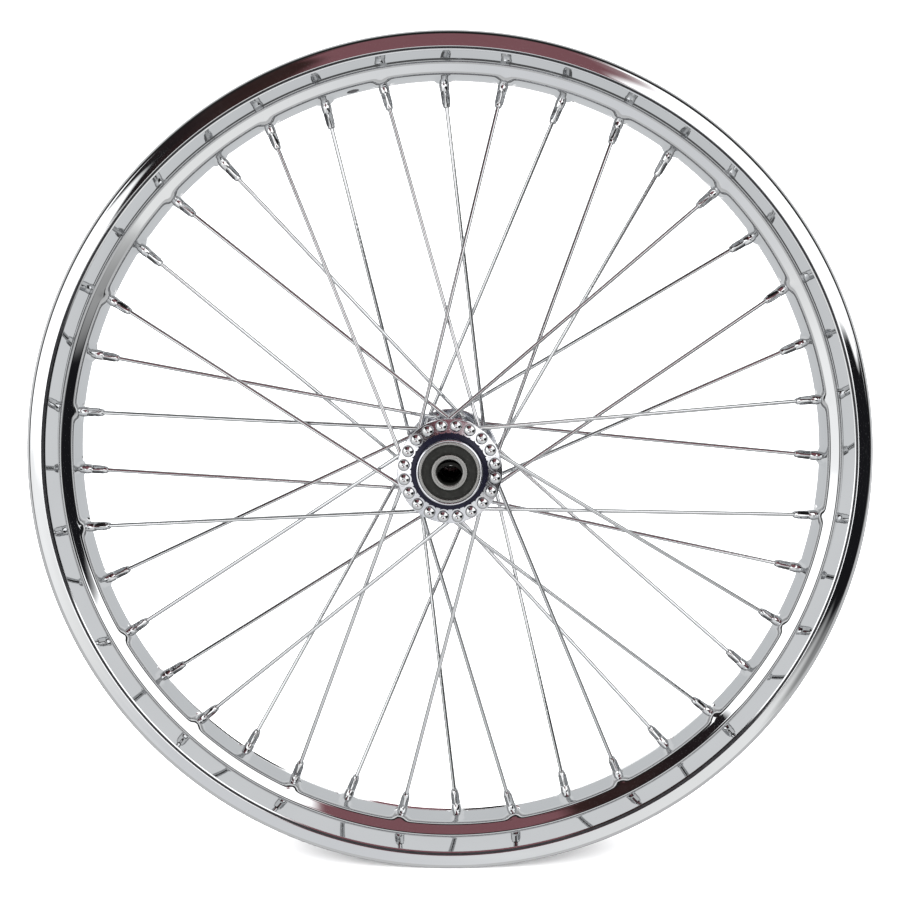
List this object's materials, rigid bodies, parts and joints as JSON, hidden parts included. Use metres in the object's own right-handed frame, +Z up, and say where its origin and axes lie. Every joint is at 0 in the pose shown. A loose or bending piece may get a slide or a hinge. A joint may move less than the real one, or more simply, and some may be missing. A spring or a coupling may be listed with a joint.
{
  "type": "spoked motorcycle wheel",
  "caption": "Bare chrome motorcycle wheel: drop-centre rim laced with crossed spokes to a narrow spool hub that turns on sealed ball bearings.",
  "frame": {"origin": "centre of the wheel, on the axle's axis in the rim's middle plane", "axes": "+Y along the axle towards the far side, +Z up, +X to the right seen from the near side; the wheel spins about +Y"},
  "size_m": [0.5588, 0.0898, 0.5588],
  "materials": {
    "rim_chrome": "mirror chrome",
    "hub_chrome": "mirror chrome",
    "spoke_chrome": "bright chrome",
    "bearing_steel": "ground",
    "ball_steel": "polished",
    "spacer_steel": "turned",
    "seal_rubber": "matt"
  },
  "bodies": {
    "axle_set": {"near_bearing_inner_ring": "bearing_steel", "far_bearing_inner_ring": "bearing_steel", "bearing_spacer": "spacer_steel"},
    "wheel": {"rim": "rim_chrome", "hub": "hub_chrome", "spoke_01": "spoke_chrome", "spoke_02": "spoke_chrome", "spoke_03": "spoke_chrome", "spoke_04": "spoke_chrome", "spoke_05": "spoke_chrome", "spoke_06": "spoke_chrome", "spoke_07": "spoke_chrome", "spoke_08": "spoke_chrome", "spoke_09": "spoke_chrome", "spoke_10": "spoke_chrome", "spoke_11": "spoke_chrome", "spoke_12": "spoke_chrome", "spoke_13": "spoke_chrome", "spoke_14": "spoke_chrome", "spoke_15": "spoke_chrome", "spoke_16": "spoke_chrome", "spoke_17": "spoke_chrome", "spoke_18": "spoke_chrome", "spoke_19": "spoke_chrome", "spoke_20": "spoke_chrome", "spoke_21": "spoke_chrome", "spoke_22": "spoke_chrome", "spoke_23": "spoke_chrome", "spoke_24": "spoke_chrome", "spoke_25": "spoke_chrome", "spoke_26": "spoke_chrome", "spoke_27": "spoke_chrome", "spoke_28": "spoke_chrome", "spoke_29": "spoke_chrome", "spoke_30": "spoke_chrome", "spoke_31": "spoke_chrome", "spoke_32": "spoke_chrome", "spoke_33": "spoke_chrome", "spoke_34": "spoke_chrome", "spoke_35": "spoke_chrome", "spoke_36": "spoke_chrome", "spoke_37": "spoke_chrome", "spoke_38": "spoke_chrome", "spoke_39": "spoke_chrome", "spoke_40": "spoke_chrome", "near_bearing_outer_ring": "bearing_steel", "near_bearing_outer_seal": "seal_rubber", "near_bearing_inner_seal": "seal_rubber", "far_bearing_outer_ring": "bearing_steel", "far_bearing_outer_seal": "seal_rubber", "far_bearing_inner_seal": "seal_rubber"},
    "near_cage": {"near_bearing_ball_set": "ball_steel"},
    "far_cage": {"far_bearing_ball_set": "ball_steel"}
  },
  "joints": [
    {"name": "wheel_spin", "type": "hinge", "parent": "axle_set", "child": "wheel", "pos_m": [0, 0, 0], "axis": [0, 1, 0], "continuous": true},
    {"name": "near_cage_spin", "type": "hinge", "parent": "axle_set", "child": "near_cage", "pos_m": [0, -0.0385, 0], "axis": [0, 1, 0], "continuous": true},
    {"name": "far_cage_spin", "type": "hinge", "parent": "axle_set", "child": "far_cage", "pos_m": [0, 0.0385, 0], "axis": [0, 1, 0], "continuous": true}
  ],
  "couplings": [
    {"joint": "near_cage_spin", "follows": "wheel_spin", "ratio": 0.62},
    {"joint": "far_cage_spin", "follows": "wheel_spin", "ratio": 0.62}
  ]
}
